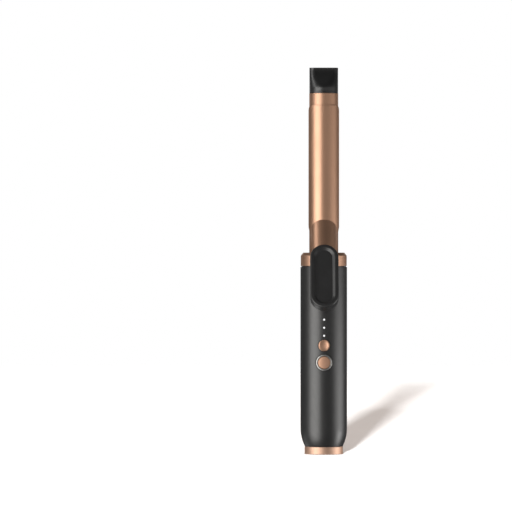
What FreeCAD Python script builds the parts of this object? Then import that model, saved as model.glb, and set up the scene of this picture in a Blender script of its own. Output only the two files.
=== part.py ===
import FreeCAD, Part
import math
import os

from FreeCAD import Placement, Rotation, Vector
import Sketcher

# A cordless curling iron, in millimetres. The barrel's axis is Z and its foot stands on Z = 0.
# The clamp and its thumb lever are on the front, towards -Y, and the clamp is closed.

DIMENSIONS = {
    # handle
    "base_radius": 16.5,
    "base_height": 6.6,
    "handle_radius": 20.05,
    "handle_top": 162.0,
    "handle_wall": 2.0,
    "taper_height": 15.4,
    "taper_radius": 34.0,
    "taper_foot": 16.36,
    "shoulder_height": 157.0,
    "neck_foot": 160.0,
    "neck_top": 168.0,
    "neck_outer": 17.6,
    "neck_inner": 15.8,
    "parting_gap": 0.3,
    "shadow_line_high": 0.8,
    "shadow_line_deep": 0.8,
    "foot_lip_bottom": 2.2,
    "foot_lip_outer": 14.3,
    "foot_lip_inner": 12.6,
    "base_bore": 14.45,
    "cap_radius": 14.35,
    "cap_thickness": 2.0,
    "cap_skirt_outer": 12.5,
    "cap_skirt_inner": 11.2,
    "cap_skirt_top": 6.0,
    "slot_bottom": 127.5,
    "slot_top": 160.3,
    "slot_spare": 0.55,
    "slot_corner": 2.0,
    # collar, barrel and tip
    "collar_radius": 19.8,
    "collar_top": 173.5,
    "collar_chamfer_across": 2.1,
    "collar_chamfer_up": 2.6,
    "barrel_radius": 12.5,
    "barrel_wall": 1.0,
    "barrel_bottom": 159.8,
    "barrel_top": 310.9,
    "tip_radius": 12.35,
    "tip_top": 332.8,
    "tip_waist": 315.5,
    "tip_half_thickness": 4.3,
    "plug_bottom": 302.0,
    "seat_outer": 15.6,
    "seat_inner": 8.5,
    "seat_ledge": 1.8,
    "seat_top": 171.2,
    "heater_bottom": 190.0,
    "heater_top": 298.0,
    # clamp
    "clamp_gap": 0.35,
    "clamp_sheet": 0.9,
    "clamp_top": 300.3,
    "clamp_edge": 3.9,
    "bend_height": 201.8,
    "bend_tilt": 24.5,
    "bend_radius": 11.4,
    "hinge_back": -6.0,
    "hinge_height": 148.0,
    "opening_angle": 20.0,
    "pin_radius": 1.5,
    # lever
    "lever_length": 59.2,
    "lever_width": 24.3,
    "lever_thickness": 9.0,
    "lever_tilt": 25.0,
    "lever_front": -38.2,
    "lever_middle": 154.0,
    "leg_width": 15.5,
    "hub_radius": 5.1,
    # controls
    "temp_height": 93.8,
    "temp_radius": 4.8,
    "dish_ball": 12.0,
    "dish_depth": 1.0,
    "power_height": 79.1,
    "power_radius": 5.1,
    "ring_inner": 5.55,
    "ring_outer": 6.95,
    "ring_rounding": 0.45,
    "groove_wide": 0.6,
    "groove_deep": 0.7,
    "lamp_first": 102.2,
    "lamp_step": 6.9,
    "lamp_radius": 0.8,
    "behind_wall": -15.9,
    # electronics
    "board_front": -10.6,
    "board_thickness": 1.6,
    "board_half_width": 11.0,
    "board_bottom": 64.0,
    "board_top": 123.5,
    "post_radius": 1.9,
    "post_length": 6.3,
    "post_hole_radius": 0.9,
    "post_hole_length": 4.6,
    "cell_radius": 10.5,
    "cell_length": 70.2,
    "cell_back": 5.2,
    "cell_bottom": 38.0,
    "port_back": 7.0,
    "port_half_width": 4.7,
    "port_half_depth": 1.75,
}

UP = Rotation()
FORWARD = Rotation(Vector(1, 0, 0), 90)
BACKWARD = Rotation(Vector(1, 0, 0), -90)
SIDEWAYS = Rotation(Vector(0, 1, 0), 90)
ACROSS = Vector(1, 0, 0)

doc = FreeCAD.newDocument("curling_iron")
sub_parts = []


# Sizes


class Dim:
    """A number and the sheet formula that gives it."""

    def __init__(self, value, formula):
        self.value = value
        self.formula = formula

    def __add__(self, other):
        other = dim(other)
        return Dim(self.value + other.value, f"({self.formula} + {other.formula})")

    def __sub__(self, other):
        other = dim(other)
        return Dim(self.value - other.value, f"({self.formula} - {other.formula})")

    def __mul__(self, factor):
        return Dim(self.value * factor, f"({self.formula} * {factor})")

    def __neg__(self):
        return self * -1


def dim(item):
    """The Dim of a sheet name, or of a plain number."""
    if isinstance(item, Dim):
        return item
    if isinstance(item, str):
        return Dim(DIMENSIONS[item], f"sizes.{item}")
    return Dim(float(item), f"{float(item)}")


def make_sheet():
    sheet = doc.addObject("Spreadsheet::Sheet", "sizes")
    for row, (name, value) in enumerate(DIMENSIONS.items(), 1):
        sheet.set(f"A{row}", name)
        sheet.set(f"B{row}", str(value))
        sheet.setAlias(f"B{row}", name)
    doc.recompute()
    return sheet


sizes = make_sheet()


def read(name):
    """A size as the sheet holds it, for the shapes that are made from Part's own functions."""
    return float(sizes.get(name))


def bind(item, prop, size):
    item.setExpression(prop, dim(size).formula)


# Sketches and PartDesign features


def new_body(name, finished=True):
    """A body, which is a sub-part itself unless Part tools still have to shape it."""
    body = doc.addObject("PartDesign::Body", name)
    body.Label = name
    if finished:
        sub_parts.append(body)
    return body


def new_sketch(body, name, role, shift=0):
    """An empty sketch on an origin plane of its body, moved along the plane's normal."""
    sketch = body.newObject("Sketcher::SketchObject", name)
    plane = next(item for item in body.Origin.OriginFeatures if item.Role == role)
    sketch.AttachmentSupport = [(plane, "")]
    sketch.MapMode = "FlatFace"
    bind(sketch, "AttachmentOffset.Base.z", shift)
    return sketch


def pin_point(sketch, geometry, end, across, up):
    """Fixes a point of a sketch by its distances from the sketch's origin."""
    for kind, axis, size in (("DistanceX", -2, dim(across)), ("DistanceY", -1, dim(up))):
        if size.value == 0:
            sketch.addConstraint(Sketcher.Constraint("PointOnObject", geometry, end, axis))
            continue
        index = sketch.addConstraint(Sketcher.Constraint(kind, -1, 1, geometry, end, size.value))
        bind(sketch, f"Constraints[{index}]", size)


def add_circle(sketch, across, up, radius):
    across, up, radius = dim(across), dim(up), dim(radius)
    centre = Vector(across.value, up.value, 0)
    ring = sketch.addGeometry(Part.Circle(centre, Vector(0, 0, 1), radius.value))
    index = sketch.addConstraint(Sketcher.Constraint("Radius", ring, radius.value))
    bind(sketch, f"Constraints[{index}]", radius)
    pin_point(sketch, ring, 3, across, up)


def arc_between(start, end, radius):
    """The short arc from start to end. A positive radius turns left on the way."""
    chord = end - start
    rise = math.sqrt(radius**2 - (chord.Length / 2) ** 2)
    side = Vector(-chord.y, chord.x, 0).normalize() * math.copysign(rise, radius)
    centre = (start + end) / 2 + side
    angles = [math.atan2(point.y - centre.y, point.x - centre.x) for point in (start, end)]
    if radius < 0:
        angles.reverse()
    circle = Part.Circle(centre, Vector(0, 0, 1), abs(radius))
    return Part.ArcOfCircle(circle, angles[0], angles[1])


def add_outline(sketch, corners):
    """A closed outline. A corner is (across, up), or (across, up, radius) where an arc leaves it."""
    places = [Vector(dim(corner[0]).value, dim(corner[1]).value, 0) for corner in corners]
    ends = []
    for number, corner in enumerate(corners):
        start, end = places[number], places[(number + 1) % len(places)]
        if len(corner) == 2:
            ends.append((sketch.addGeometry(Part.LineSegment(start, end)), 1, 2))
            continue
        radius = dim(corner[2])
        arc = sketch.addGeometry(arc_between(start, end, radius.value))
        ends.append((arc, 1, 2) if radius.value > 0 else (arc, 2, 1))
        size = radius if radius.value > 0 else -radius
        index = sketch.addConstraint(Sketcher.Constraint("Radius", arc, size.value))
        bind(sketch, f"Constraints[{index}]", size)
    for number, (geometry, first, last) in enumerate(ends):
        following, start, _ = ends[(number + 1) % len(ends)]
        joined = Sketcher.Constraint("Coincident", geometry, last, following, start)
        sketch.addConstraint(joined)
        pin_point(sketch, geometry, first, corners[number][0], corners[number][1])


def add_rectangle(sketch, low_across, low_up, high_across, high_up):
    add_outline(
        sketch,
        [
            (low_across, low_up),
            (high_across, low_up),
            (high_across, high_up),
            (low_across, high_up),
        ],
    )


def add_rounded_rectangle(sketch, low_across, low_up, high_across, high_up, radius):
    left, right = dim(low_across), dim(high_across)
    bottom, top = dim(low_up), dim(high_up)
    add_outline(
        sketch,
        [
            (left + radius, bottom),
            (right - radius, bottom, radius),
            (right, bottom + radius),
            (right, top - radius, radius),
            (right - radius, top),
            (left + radius, top, radius),
            (left, top - radius),
            (left, bottom + radius, radius),
        ],
    )


def feature(body, kind, sketch, name):
    made = body.newObject(f"PartDesign::{kind}", name)
    made.Profile = sketch
    sketch.Visibility = False
    return made


def revolve(body, sketch, name, angle=360, backwards=False):
    made = feature(body, "Revolution", sketch, name)
    made.ReferenceAxis = (sketch, ["V_Axis"])
    made.Angle = angle
    made.Reversed = backwards
    return made


def pad(body, sketch, name, length, backwards=False):
    made = feature(body, "Pad", sketch, name)
    bind(made, "Length", length)
    made.Reversed = backwards
    return made


def pocket(body, sketch, name, length, backwards=False):
    made = feature(body, "Pocket", sketch, name)
    bind(made, "Length", length)
    made.Reversed = backwards
    return made


def checked_cut(body, cut):
    """Makes sure that a pocket or groove really took something away."""
    doc.recompute()
    if not cut.Shape.Volume < cut.BaseFeature.Shape.Volume - 0.01:
        raise RuntimeError(f"{cut.Name} cuts nothing from {body.Name}")


def round_edges(body, name, radius, chosen):
    """Rounds the edges of the body's tip that the test picks."""
    doc.recompute()
    base = body.Tip
    picked = [f"Edge{n}" for n, edge in enumerate(base.Shape.Edges, 1) if chosen(edge)]
    made = body.newObject("PartDesign::Fillet", name)
    made.Base = (base, picked)
    bind(made, "Radius", radius)
    return made


# Part primitives and booleans


def place(item, base, turn=UP):
    item.Placement = Placement(Vector(*(dim(size).value for size in base)), turn)
    for axis, size in zip("xyz", base):
        bind(item, f"Placement.Base.{axis}", size)
    return item


def keep(item, name):
    """Marks an object as a finished sub-part."""
    item.Label = name
    sub_parts.append(item)
    return item


def cylinder(name, radius, length, base, turn=UP):
    item = doc.addObject("Part::Cylinder", name)
    bind(item, "Radius", radius)
    bind(item, "Height", length)
    return place(item, base, turn)


def box(name, low, high):
    item = doc.addObject("Part::Box", name)
    for prop, start, end in zip(("Length", "Width", "Height"), low, high):
        bind(item, prop, dim(end) - start)
    return place(item, low)


def torus(name, ring_radius, wire_radius, base, turn=UP):
    item = doc.addObject("Part::Torus", name)
    bind(item, "Radius1", ring_radius)
    bind(item, "Radius2", wire_radius)
    return place(item, base, turn)


def fuse(name, items):
    item = doc.addObject("Part::MultiFuse", name)
    item.Shapes = items
    return item


def common(name, items):
    item = doc.addObject("Part::MultiCommon", name)
    item.Shapes = items
    return item


def cut(name, base, tool):
    item = doc.addObject("Part::Cut", name)
    item.Base = base
    item.Tool = tool
    return item


def round_solid(name, base, radius, chosen):
    """Rounds the edges of a Part object that the test picks."""
    doc.recompute()
    item = doc.addObject("Part::Fillet", name)
    item.Base = base
    item.Edges = [
        (number, read(radius), read(radius))
        for number, edge in enumerate(base.Shape.Edges, 1)
        if chosen(edge)
    ]
    return item


def group(name, items):
    """Several separate solids as one sub-part."""
    item = doc.addObject("Part::Compound", name)
    item.Links = items
    return item


def shape_feature(name, shape, placement=None):
    item = doc.addObject("Part::Feature", name)
    item.Shape = shape
    item.Placement = placement or Placement()
    return item


# Wires for the shapes that have no fitting feature


def closed_wire(edges):
    return Part.Wire(Part.__sortEdges__(edges))


def stadium(length, width, height=0.0):
    """A long round-ended wire in the XY plane, with its length along Y."""
    radius = width / 2
    reach = max(length / 2 - radius, 0.01)
    right_low, right_high = Vector(radius, -reach, height), Vector(radius, reach, height)
    left_low, left_high = Vector(-radius, -reach, height), Vector(-radius, reach, height)
    top = Vector(0, reach + radius, height)
    bottom = Vector(0, -reach - radius, height)
    return Part.Wire(
        [
            Part.LineSegment(right_low, right_high).toShape(),
            Part.Arc(right_high, top, left_high).toShape(),
            Part.LineSegment(left_high, left_low).toShape(),
            Part.Arc(left_low, bottom, right_low).toShape(),
        ]
    )


def slab(wire, rise):
    return Part.Face(wire).extrude(Vector(0, 0, rise))


def bent_route(points, share=0.45):
    """Straight runs joined by tangent arcs, each as large as its two runs allow."""
    edges = []
    here = points[0]
    for before, corner, after in zip(points, points[1:], points[2:]):
        into, out = (corner - before), (after - corner)
        reach = share * min(into.Length, out.Length)
        into.normalize()
        out.normalize()
        start, end = corner - into * reach, corner + out * reach
        half_turn = into.getAngle(out) / 2
        radius = reach / math.tan(half_turn)
        inward = (out - into).normalize()
        middle = corner + inward * (radius / math.cos(half_turn) - radius)
        edges.append(Part.LineSegment(here, start).toShape())
        edges.append(Part.Arc(start, middle, end).toShape())
        here = end
    edges.append(Part.LineSegment(here, points[-1]).toShape())
    return Part.Wire(edges)


def wire_tube(points, radius):
    route = bent_route(points)
    circle = Part.Circle(points[0], points[1] - points[0], radius)
    section = Part.Wire([circle.toShape()])
    tube = route.makePipeShell([section], True, False)
    wanted = math.pi * radius**2 * route.Length
    if abs(tube.Volume - wanted) > 0.02 * wanted:
        raise RuntimeError("a lead's volume is not its section times its length")
    return tube


# The handle


def shell_profile(body):
    """The wall of the handle, from the foot ring up to the neck inside the collar."""
    sketch = new_sketch(body, f"{body.Name}_profile", "XZ_Plane")
    step = dim("base_height") + 0.1
    taper_top = step + "taper_height"
    shoulder = dim("handle_top") - 0.1
    inner = dim("handle_radius") - "handle_wall"
    add_outline(
        sketch,
        [
            ("foot_lip_inner", "foot_lip_bottom"),
            ("foot_lip_outer", "foot_lip_bottom"),
            ("foot_lip_outer", step),
            ("taper_foot", step, "taper_radius"),
            ("handle_radius", taper_top),
            ("handle_radius", shoulder - "shadow_line_high"),
            (dim("handle_radius") - "shadow_line_deep", shoulder - "shadow_line_high"),
            (dim("handle_radius") - "shadow_line_deep", shoulder),
            ("neck_outer", shoulder),
            ("neck_outer", "neck_top"),
            ("neck_inner", "neck_top"),
            ("neck_inner", "neck_foot"),
            (inner, "shoulder_height"),
            (inner, taper_top + 1.0),
            (dim("taper_foot") - 1.96, step + 2.0),
            ("foot_lip_inner", step),
        ],
    )
    return sketch


def trim_parting(body):
    """Takes half of the fine gap between the two shells from this one."""
    sketch = new_sketch(body, f"{body.Name}_parting", "XY_Plane", 1.0)
    half = dim("parting_gap") * 0.5
    reach = dim("handle_radius") + 2.0
    add_rectangle(sketch, -reach, -half, reach, half)
    checked_cut(body, pocket(body, sketch, f"{body.Name}_trim", "collar_top", backwards=True))


def lamp_heights():
    return [dim("lamp_first") + dim("lamp_step") * step for step in range(3)]


def handle_skin(name, proud):
    """A round bar that stands proud of the handle by this much, over the controls' whole height."""
    bottom = dim("power_height") - 14.0
    top = dim("temp_height") + 16.0
    return cylinder(name, dim("handle_radius") + proud, top - bottom, (0, 0, bottom))


# Where the four screws hold the control board: to the side, and up.
BOARD_POSTS = [(side, height) for side in (-8.4, 8.4) for height in (68.0, 120.0)]


def make_front_shell():
    body = new_body("front_moulding", finished=False)
    revolve(body, shell_profile(body), "front_wall", 180, backwards=True)
    trim_parting(body)
    post_end = dim(0.05) - "board_front"
    posts = new_sketch(body, "board_posts", "XZ_Plane", post_end)
    for side, height in BOARD_POSTS:
        add_circle(posts, side, height, "post_radius")
    pad(body, posts, "board_post_pad", "post_length")
    holes = new_sketch(body, "board_post_holes", "XZ_Plane", post_end)
    for side, height in BOARD_POSTS:
        add_circle(holes, side, height, "post_hole_radius")
    checked_cut(body, pocket(body, holes, "board_post_bores", "post_hole_length", backwards=True))
    openings = new_sketch(body, "control_openings", "XZ_Plane", 14.0)
    add_circle(openings, 0, "power_height", dim("ring_outer") + 0.05)
    add_circle(openings, 0, "temp_height", dim("temp_radius") + 0.2)
    for height in lamp_heights():
        add_circle(openings, 0, height, dim("lamp_radius") + 0.05)
    checked_cut(body, pocket(body, openings, "control_holes", 8.0, backwards=True))
    slot = new_sketch(body, "lever_slot", "XZ_Plane", 11.0)
    half = dim("leg_width") * 0.5 + "slot_spare"
    add_rounded_rectangle(slot, -half, "slot_bottom", half, "slot_top", dim("slot_corner"))
    checked_cut(body, pocket(body, slot, "lever_opening", 11.0, backwards=True))
    # A shallow groove round each control, as deep everywhere as the wall is round.
    grooves = []
    for name, height, radius in (
        ("temp", "temp_height", "temp_radius"),
        ("power", "power_height", "ring_outer"),
    ):
        edge = dim(radius) + "groove_wide"
        disc = cylinder(f"{name}_groove_disc", edge, 6.0, (0, -16.9, height), FORWARD)
        floor = handle_skin(f"{name}_groove_floor", -dim("groove_deep"))
        grooves.append(cut(f"{name}_groove", disc, floor))
    keep(cut("front_shell", body, fuse("control_grooves", grooves)), "front_shell")


FRAME_SCREWS = [(side, height) for side in (-6.4, 6.4) for height in (130.5, 153.5)]
FRAME_BACK = 8.9


def make_rear_shell():
    body = new_body("rear_shell")
    revolve(body, shell_profile(body), "rear_wall", 180)
    trim_parting(body)
    bosses = new_sketch(body, "frame_bosses", "XZ_Plane", -FRAME_BACK)
    for side, height in FRAME_SCREWS:
        add_circle(bosses, side, height, 2.6)
    pad(body, bosses, "frame_boss_pad", 8.3, backwards=True)
    bores = new_sketch(body, "frame_boss_holes", "XZ_Plane", -FRAME_BACK)
    for side, height in FRAME_SCREWS:
        add_circle(bores, side, height, 1.0)
    checked_cut(body, pocket(body, bores, "frame_boss_bores", 6.6))


def make_base_ring():
    body = new_body("base_ring")
    sketch = new_sketch(body, "base_ring_profile", "XZ_Plane")
    bevel = 0.3
    add_outline(
        sketch,
        [
            ("base_bore", 0),
            (dim("base_radius") - bevel, 0),
            ("base_radius", bevel),
            ("base_radius", dim("base_height") - bevel),
            (dim("base_radius") - bevel, "base_height"),
            ("base_bore", "base_height"),
        ],
    )
    revolve(body, sketch, "base_ring_turned")


def make_bottom_cap():
    body = new_body("bottom_cap")
    sketch = new_sketch(body, "bottom_cap_profile", "XZ_Plane")
    add_outline(
        sketch,
        [
            (0, 0),
            ("cap_radius", 0),
            ("cap_radius", "cap_thickness"),
            ("cap_skirt_outer", "cap_thickness"),
            ("cap_skirt_outer", "cap_skirt_top"),
            ("cap_skirt_inner", "cap_skirt_top"),
            ("cap_skirt_inner", "cap_thickness"),
            (0, "cap_thickness"),
        ],
    )
    revolve(body, sketch, "bottom_cap_turned")
    port = new_sketch(body, "port_outline", "XY_Plane", -1.0)
    middle, half = dim("port_back"), dim("port_half_width")
    depth = dim("port_half_depth")
    add_rounded_rectangle(port, -half, middle - depth, half, middle + depth, 1.6)
    checked_cut(body, pocket(body, port, "port_opening", 6.0, backwards=True))


def make_collar():
    body = new_body("collar")
    sketch = new_sketch(body, "collar_profile", "XZ_Plane")
    bore = dim("barrel_radius") + 0.2
    socket = dim("neck_outer") + 0.15
    top = dim("collar_top")
    add_outline(
        sketch,
        [
            (socket, "handle_top"),
            ("collar_radius", "handle_top"),
            ("collar_radius", top - "collar_chamfer_up"),
            (dim("collar_radius") - "collar_chamfer_across", top),
            (bore, top),
            (bore, top - 2.1),
            (socket, top - 2.1),
        ],
    )
    revolve(body, sketch, "collar_turned")
    widest = read("collar_radius")
    crease = widest - read("collar_chamfer_across")

    def is_ring(edge, radius):
        bounds = edge.BoundBox
        return abs(bounds.XLength / 2 - radius) < 0.05 and bounds.ZLength < 0.01

    def on_chamfer(edge):
        outside = is_ring(edge, crease) or is_ring(edge, widest)
        return outside and edge.BoundBox.ZMin > read("handle_top") + 1.0

    def on_foot(edge):
        return is_ring(edge, widest) and edge.BoundBox.ZMin < read("handle_top") + 1.0

    round_edges(body, "collar_softened", 0.35, on_chamfer)
    round_edges(body, "collar_foot_softened", 0.25, on_foot)


# The barrel and what heats it


def make_barrel_tube():
    body = new_body("barrel_tube")
    sketch = new_sketch(body, "barrel_profile", "XZ_Plane")
    inner = dim("barrel_radius") - "barrel_wall"
    bevel = 0.35
    add_outline(
        sketch,
        [
            (inner, "barrel_bottom"),
            ("barrel_radius", "barrel_bottom"),
            ("barrel_radius", dim("barrel_top") - bevel),
            (dim("barrel_radius") - bevel, "barrel_top"),
            (inner, "barrel_top"),
        ],
    )
    revolve(body, sketch, "barrel_turned")


def make_barrel_seat():
    body = new_body("barrel_seat")
    sketch = new_sketch(body, "barrel_seat_profile", "XZ_Plane")
    bore = dim("barrel_radius") + 0.1
    ledge = dim("barrel_bottom")
    add_outline(
        sketch,
        [
            ("seat_inner", ledge - "seat_ledge"),
            ("seat_outer", ledge - "seat_ledge"),
            ("seat_outer", "seat_top"),
            (bore, "seat_top"),
            (bore, ledge),
            ("seat_inner", ledge),
        ],
    )
    revolve(body, sketch, "barrel_seat_turned")


def make_cool_tip():
    """A plug in the barrel's end, then a round tip that is pinched flat front and back."""
    plug_radius = read("barrel_radius") - read("barrel_wall") - 0.1
    radius = read("tip_radius")
    foot, waist, top = read("barrel_top"), read("tip_waist"), read("tip_top")
    plug_bottom = read("plug_bottom")
    plug = Part.makeCylinder(plug_radius, foot - plug_bottom, Vector(0, 0, plug_bottom))
    thin, full = read("tip_half_thickness"), radius - 0.15
    heights = [(foot, full), (foot + 1.6, full), (foot + 3.2, full)]
    for step in range(10):
        share = step / 9
        squeeze = (1 + math.cos(math.pi * share**0.8)) / 2
        heights.append((waist + (top - waist) * share, thin + (full - thin) * squeeze))
    sections = []
    for height, half in heights:
        wire = stadium(2 * radius, 2 * half, height)
        wire.rotate(Vector(0, 0, 0), Vector(0, 0, 1), 90)
        sections.append(wire)
    shape = plug.fuse(Part.makeLoft(sections, True, False))
    keep(shape_feature("cool_tip", shape), "cool_tip")


def make_heater():
    """Two aluminium halves press a flat heating element and its film against the barrel."""
    bottom, top = dim("heater_bottom"), dim("heater_top")
    radius = dim("barrel_radius") - "barrel_wall" - 0.15
    for name, side in (("left", -1), ("right", 1)):
        round_part = cylinder(f"spreader_{name}_round", radius, top - bottom, (0, 0, bottom))
        flat = sorted((side * 1.8, side * 12.0))
        flat_part = box(f"spreader_{name}_flat", (flat[0], -12.0, bottom), (flat[1], 12.0, top))
        half = common(f"spreader_{name}_half", [round_part, flat_part])
        bore = cylinder(f"spreader_{name}_bore", 2.2, top - bottom, (side * 6.2, 0, bottom))
        keep(cut(f"heat_spreader_{name}", half, bore), f"heat_spreader_{name}")
    element = box("heater_element", (-1.5, -7.0, bottom + 6.0), (1.5, 7.0, top - 6.0))
    keep(element, "heater_element")
    low, high = bottom + 3.0, top - 3.0
    sleeve = box("film_outside", (-1.75, -7.25, low), (1.75, 7.25, high))
    hollow = box("film_inside", (-1.55, -7.05, low), (1.55, 7.05, high))
    keep(cut("heater_film", sleeve, hollow), "heater_film")
    keep(cylinder("thermal_fuse", 1.9, 11.0, (-6.2, 0, bottom + 2.0)), "thermal_fuse")
    keep(cylinder("thermistor", 1.3, 5.0, (6.2, 0, bottom + 50.0)), "thermistor")
    disc = cylinder("insulator_disc", radius, 1.8, (0, 0, top + 1.5))
    hole = cylinder("insulator_hole", 2.0, 1.8, (0, 0, top + 1.5))
    keep(cut("tip_insulator", disc, hole), "tip_insulator")


# The clamp


def lever_placement():
    """The lever's own frame: origin on its front face, Y up its length and Z out of its face."""
    base = Vector(0, read("lever_front"), read("lever_middle"))
    return Placement(base, Rotation(ACROSS, 90 - read("lever_tilt")))


def neck_line():
    """Where the sheet bends, and the directions down its neck and out of the neck's face."""
    tilt = math.radians(read("bend_tilt"))
    outer_face = read("barrel_radius") + read("clamp_gap") + read("clamp_sheet")
    ridge = Vector(0, -outer_face, read("bend_height"))
    down = Vector(0, -math.sin(tilt), -math.cos(tilt))
    outward = Vector(0, -math.cos(tilt), math.sin(tilt))
    return ridge, down, outward


def clamp_sheet(spare=0.0):
    """The bent sheet before its outline is cut, grown by spare on every side."""
    inner = read("barrel_radius") + read("clamp_gap") - spare
    thick = read("clamp_sheet") + 2 * spare
    neck = read("bend_radius") - read("clamp_sheet") - spare
    ridge, down, outward = neck_line()
    overlap = 40.0
    start = ridge - outward * read("bend_radius") - down * overlap
    foot = Vector(0, 0, read("bend_height") - 23.8)

    def straight_tube(radius):
        return Part.makeCylinder(radius, 130.0, foot)

    def neck_tube(radius):
        return Part.makeCylinder(radius, overlap + 44.0, start, down)

    outside = straight_tube(inner + thick).fuse(neck_tube(neck + thick))
    inside = straight_tube(inner).fuse(neck_tube(neck))
    return outside.cut(inside)


def rounded_corners(points):
    """A closed wire in the YZ plane. Each point is (back, up, radius of its corner)."""
    corners = [Vector(0, back, up) for back, up, _ in points]
    edges = []
    tangents = []
    for number, corner in enumerate(corners):
        before = (corners[number - 1] - corner).normalize()
        after = (corners[(number + 1) % len(corners)] - corner).normalize()
        half = before.getAngle(after) / 2
        radius = points[number][2]
        reach = radius / math.tan(half)
        middle = corner + (before + after).normalize() * (radius / math.sin(half) - radius)
        start, end = corner + before * reach, corner + after * reach
        tangents.append((start, end))
        if radius > 0:
            edges.append(Part.Arc(start, middle, end).toShape())
    for number, (_, end) in enumerate(tangents):
        start = tangents[(number + 1) % len(tangents)][0]
        edges.append(Part.LineSegment(end, start).toShape())
    return closed_wire(edges)


def clamp_outline(spare=0.0):
    """The side view of the sheet: a straight edge, an S down the neck, then the tongue."""
    edge = -read("clamp_edge")
    top = read("clamp_top")
    ridge, down, outward = neck_line()
    tongue = ridge + down * (35.0 + spare)
    inner_end = tongue - outward * (6.4 + spare)
    outer_end = tongue + outward * 8.0
    shoulder_height = 180.6
    slope = math.tan(math.radians(read("bend_tilt")))
    shoulder_back = inner_end.y + (shoulder_height - inner_end.z) * slope
    wire = rounded_corners(
        [
            (edge, top, 5.0),
            (edge, 195.6, 4.5),
            (-8.7, 186.9, 3.5),
            (shoulder_back, shoulder_height, 2.5),
            (inner_end.y, inner_end.z, 0),
            (outer_end.y, outer_end.z, 0),
            (-40.0, top, 0),
        ]
    )
    outline = Part.Face(wire)
    outline.translate(Vector(-30, 0, 0))
    return outline.extrude(Vector(60, 0, 0))


LEVER_SCREWS = [Vector(side, 21.0, 0) for side in (-4.0, 4.0)]
DISH_DEPTH = 1.5
SPLIT_DEPTH = 4.5


def lever_rod(radius, low, high, screw):
    """A round rod across the lever at a screw, between two depths under its front face."""
    rod = Part.makeCylinder(radius, high - low, screw - Vector(0, 0, high))
    rod.Placement = lever_placement().multiply(rod.Placement)
    return rod


def make_clamp_arm():
    arm = clamp_sheet().common(clamp_outline())
    arm = arm.cut([lever_rod(1.05, 1.9, 7.6, screw) for screw in LEVER_SCREWS])
    solid = max(arm.Solids, key=lambda piece: piece.Volume)
    keep(shape_feature("clamp_arm", solid.removeSplitter()), "clamp_arm")


def tongue_room():
    """The slot that the sheet's tongue fills inside the lever."""
    room = clamp_sheet(0.08).common(clamp_outline(0.15))
    return max(room.Solids, key=lambda piece: piece.Volume)


def make_lever_cover():
    """The front half of the lever, with a long dish in it."""
    length, width = read("lever_length"), read("lever_width")
    shape = slab(stadium(length, width, -SPLIT_DEPTH), SPLIT_DEPTH)
    rim = [edge for edge in shape.Edges if abs(edge.BoundBox.ZMin) < 0.001]
    shape = shape.makeFillet(1.4, rim)
    rim_width, wall_width = 3.0, 2.2
    over = 0.2
    slope = wall_width / DISH_DEPTH
    mouth = rim_width - over * slope
    floor = rim_width + wall_width
    dish = Part.makeLoft(
        [
            stadium(length - 2 * mouth, width - 2 * mouth, over),
            stadium(length - 2 * floor, width - 2 * floor, -DISH_DEPTH),
        ],
        True,
        True,
    )
    shape = shape.cut(dish)
    shape.Placement = lever_placement().multiply(shape.Placement)
    shape = shape.cut([tongue_room()])
    shape = shape.cut([lever_rod(1.02, 1.95, 6.0, screw) for screw in LEVER_SCREWS])
    solid = max(shape.Solids, key=lambda piece: piece.Volume)
    keep(shape_feature("lever_cover", solid.removeSplitter()), "lever_cover")


def pivot():
    return Vector(0, read("hinge_back"), read("hinge_height"))


def lever_leg():
    """The block from the lever's back to the hinge, level when the clamp is open."""
    half, hub = read("leg_width") / 2, read("hub_radius")
    back, up = read("hinge_back"), read("hinge_height")
    front, low = back - 25.5, up - 18.4
    points = [
        Vector(-half, front, up + hub),
        Vector(-half, back, up + hub),
        Vector(-half, back, up - hub),
        Vector(-half, back - 6.5, low),
        Vector(-half, front, low),
    ]
    face = Part.Face(Part.makePolygon(points + [points[0]]))
    block = face.extrude(Vector(2 * half, 0, 0))
    lowest = [
        edge
        for edge in block.Edges
        if edge.BoundBox.ZMax < low + 0.01 and edge.BoundBox.XLength < 0.01
    ]
    block = block.makeFillet(2.8, lowest)
    disc = Part.makeCylinder(hub, 2 * half, Vector(-half, back, up), ACROSS)
    leg = block.fuse(disc)
    leg = leg.cut(Part.makeCylinder(5.7, 7.2, Vector(-3.6, back, up), ACROSS))
    leg = leg.cut(Part.makeCylinder(read("pin_radius") + 0.05, 30.0, Vector(-15, back, up), ACROSS))
    leg.rotate(pivot(), ACROSS, -read("opening_angle"))
    return leg


def make_lever_body():
    """The back half of the lever with its leg and two hinge ears."""
    length, width = read("lever_length"), read("lever_width")
    thick = read("lever_thickness")
    shape = slab(stadium(length, width, -thick), thick - SPLIT_DEPTH)
    back_edges = [edge for edge in shape.Edges if abs(edge.BoundBox.ZMax + thick) < 0.001]
    shape = shape.makeFillet(1.1, back_edges)
    shape.Placement = lever_placement().multiply(shape.Placement)
    shape = shape.fuse(lever_leg())
    shape = shape.cut([tongue_room()])
    shape = shape.cut([lever_rod(1.05, 3.0, thick, screw) for screw in LEVER_SCREWS])
    shape = shape.cut([lever_rod(2.0, 7.5, thick + 1, screw) for screw in LEVER_SCREWS])
    solid = max(shape.Solids, key=lambda piece: piece.Volume)
    keep(shape_feature("lever_body", solid.removeSplitter()), "lever_body")


def make_lever_screws():
    screws = []
    for screw in LEVER_SCREWS:
        head = lever_rod(1.85, 7.5, 8.7, screw)
        shank = lever_rod(0.97, 2.05, 7.6, screw)
        screws.append(head.fuse(shank).removeSplitter())
    keep(shape_feature("lever_screws", Part.makeCompound(screws)), "lever_screws")


# The hinge


CHEEK_INSIDE, CHEEK_OUTSIDE = 8.6, 11.4


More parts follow.
